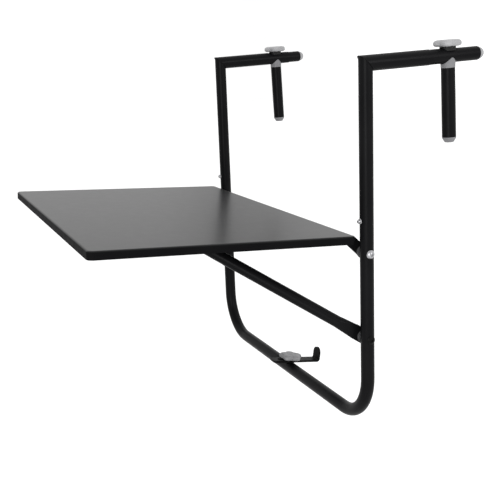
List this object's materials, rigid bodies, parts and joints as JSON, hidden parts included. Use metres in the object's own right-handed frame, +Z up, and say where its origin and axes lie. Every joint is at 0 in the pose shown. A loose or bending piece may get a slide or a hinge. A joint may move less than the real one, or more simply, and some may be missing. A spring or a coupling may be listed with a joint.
{
  "type": "railing-hung folding table",
  "caption": "Folding tabletop on a tube frame that hangs over a balcony railing, with clamp arms, a lower hook and a bent tube support that swings down to fold it flat.",
  "frame": {"origin": "middle of the inner corner between the posts' railing-side faces and the arms' undersides, the line that rests on the rail's edge", "axes": "+X to the right of someone sitting at the table and facing the railing, +Y toward the railing and along the arms, +Z up"},
  "size_m": [0.6251, 0.6519, 0.6175],
  "materials": {
    "black_coat": "semi-gloss black powder coat",
    "top_coat": "satin black powder coat",
    "grey_plastic": "mid-grey moulded plastic",
    "knob_plastic": "mid-grey moulded plastic",
    "black_plastic": "black moulded plastic",
    "black_steel": "black coated steel",
    "zinc_steel": "bright zinc plate"
  },
  "bodies": {
    "frame": {"frame_tube": "black_coat", "left_arm": "black_coat", "right_arm": "black_coat", "upper_pivot_bolts": "zinc_steel", "upper_pivot_nuts": "zinc_steel", "upper_pivot_washers": "grey_plastic", "lower_pivot_bolts": "black_steel", "lower_pivot_nuts": "zinc_steel", "lower_pivot_washers": "grey_plastic", "post_screws": "zinc_steel", "post_collars": "grey_plastic", "hook_stud": "zinc_steel"},
    "tabletop": {"tabletop_panel": "top_coat", "left_bracket": "black_coat", "right_bracket": "black_coat", "cross_rail": "black_coat", "bail_catches": "black_coat"},
    "bail": {"bail_tube": "black_coat"},
    "left_clamp": {"left_inner_tube": "black_coat", "left_arm_plug": "grey_plastic", "left_clamp_tube": "black_coat", "left_clamp_saddle": "grey_plastic", "left_clamp_plug": "grey_plastic", "left_clamp_nut": "zinc_steel", "left_saddle_washer": "black_plastic"},
    "left_hand_knob": {"left_knob": "grey_plastic", "left_knob_stud": "zinc_steel"},
    "right_clamp": {"right_inner_tube": "black_coat", "right_arm_plug": "grey_plastic", "right_clamp_tube": "black_coat", "right_clamp_saddle": "grey_plastic", "right_clamp_plug": "grey_plastic", "right_clamp_nut": "zinc_steel", "right_saddle_washer": "black_plastic"},
    "right_hand_knob": {"right_knob": "grey_plastic", "right_knob_stud": "zinc_steel"},
    "hook_turn": {"hook_washer": "black_plastic"},
    "hook": {"hook_strip": "black_steel"},
    "hook_hand_knob": {"hook_knob": "knob_plastic"}
  },
  "joints": [
    {"name": "table_fold", "type": "hinge", "parent": "frame", "child": "tabletop", "pos_m": [0, -0.011, -0.2773], "axis": [1, 0, 0], "range_deg": [0, 90]},
    {"name": "bail_fold", "type": "hinge", "parent": "frame", "child": "bail", "pos_m": [0, -0.011, -0.4173], "axis": [1, 0, 0], "range_deg": [0, 116.1]},
    {"name": "left_arm_slide", "type": "slide", "parent": "frame", "child": "left_clamp", "axis": [0, 0.9993, 0.0366], "range_m": [-0.013, 0.0244]},
    {"name": "left_knob_turn", "type": "hinge", "parent": "left_clamp", "child": "left_hand_knob", "pos_m": [-0.291, 0.11567, 0.03175], "axis": [0, -0.0366, 0.9993], "continuous": true},
    {"name": "right_arm_slide", "type": "slide", "parent": "frame", "child": "right_clamp", "axis": [0, 0.9993, 0.0366], "range_m": [-0.0329, 0.0045]},
    {"name": "right_knob_turn", "type": "hinge", "parent": "right_clamp", "child": "right_hand_knob", "pos_m": [0.291, 0.13555, 0.03248], "axis": [0, -0.0366, 0.9993], "continuous": true},
    {"name": "hook_swivel", "type": "hinge", "parent": "frame", "child": "hook_turn", "pos_m": [0, -0.011, -0.5634], "axis": [0, 0.1564, 0.9877], "range_deg": [-90, 90]},
    {"name": "hook_slide", "type": "slide", "parent": "hook_turn", "child": "hook", "axis": [0, 0.9877, -0.1564], "range_m": [-0.008, 0.024]},
    {"name": "hook_knob_turn", "type": "hinge", "parent": "frame", "child": "hook_hand_knob", "pos_m": [0, -0.011, -0.5634], "axis": [0, 0.1564, 0.9877], "continuous": true}
  ],
  "couplings": [
    {"joint": "bail_fold", "follows": "table_fold", "ratio": 1.2889}
  ]
}
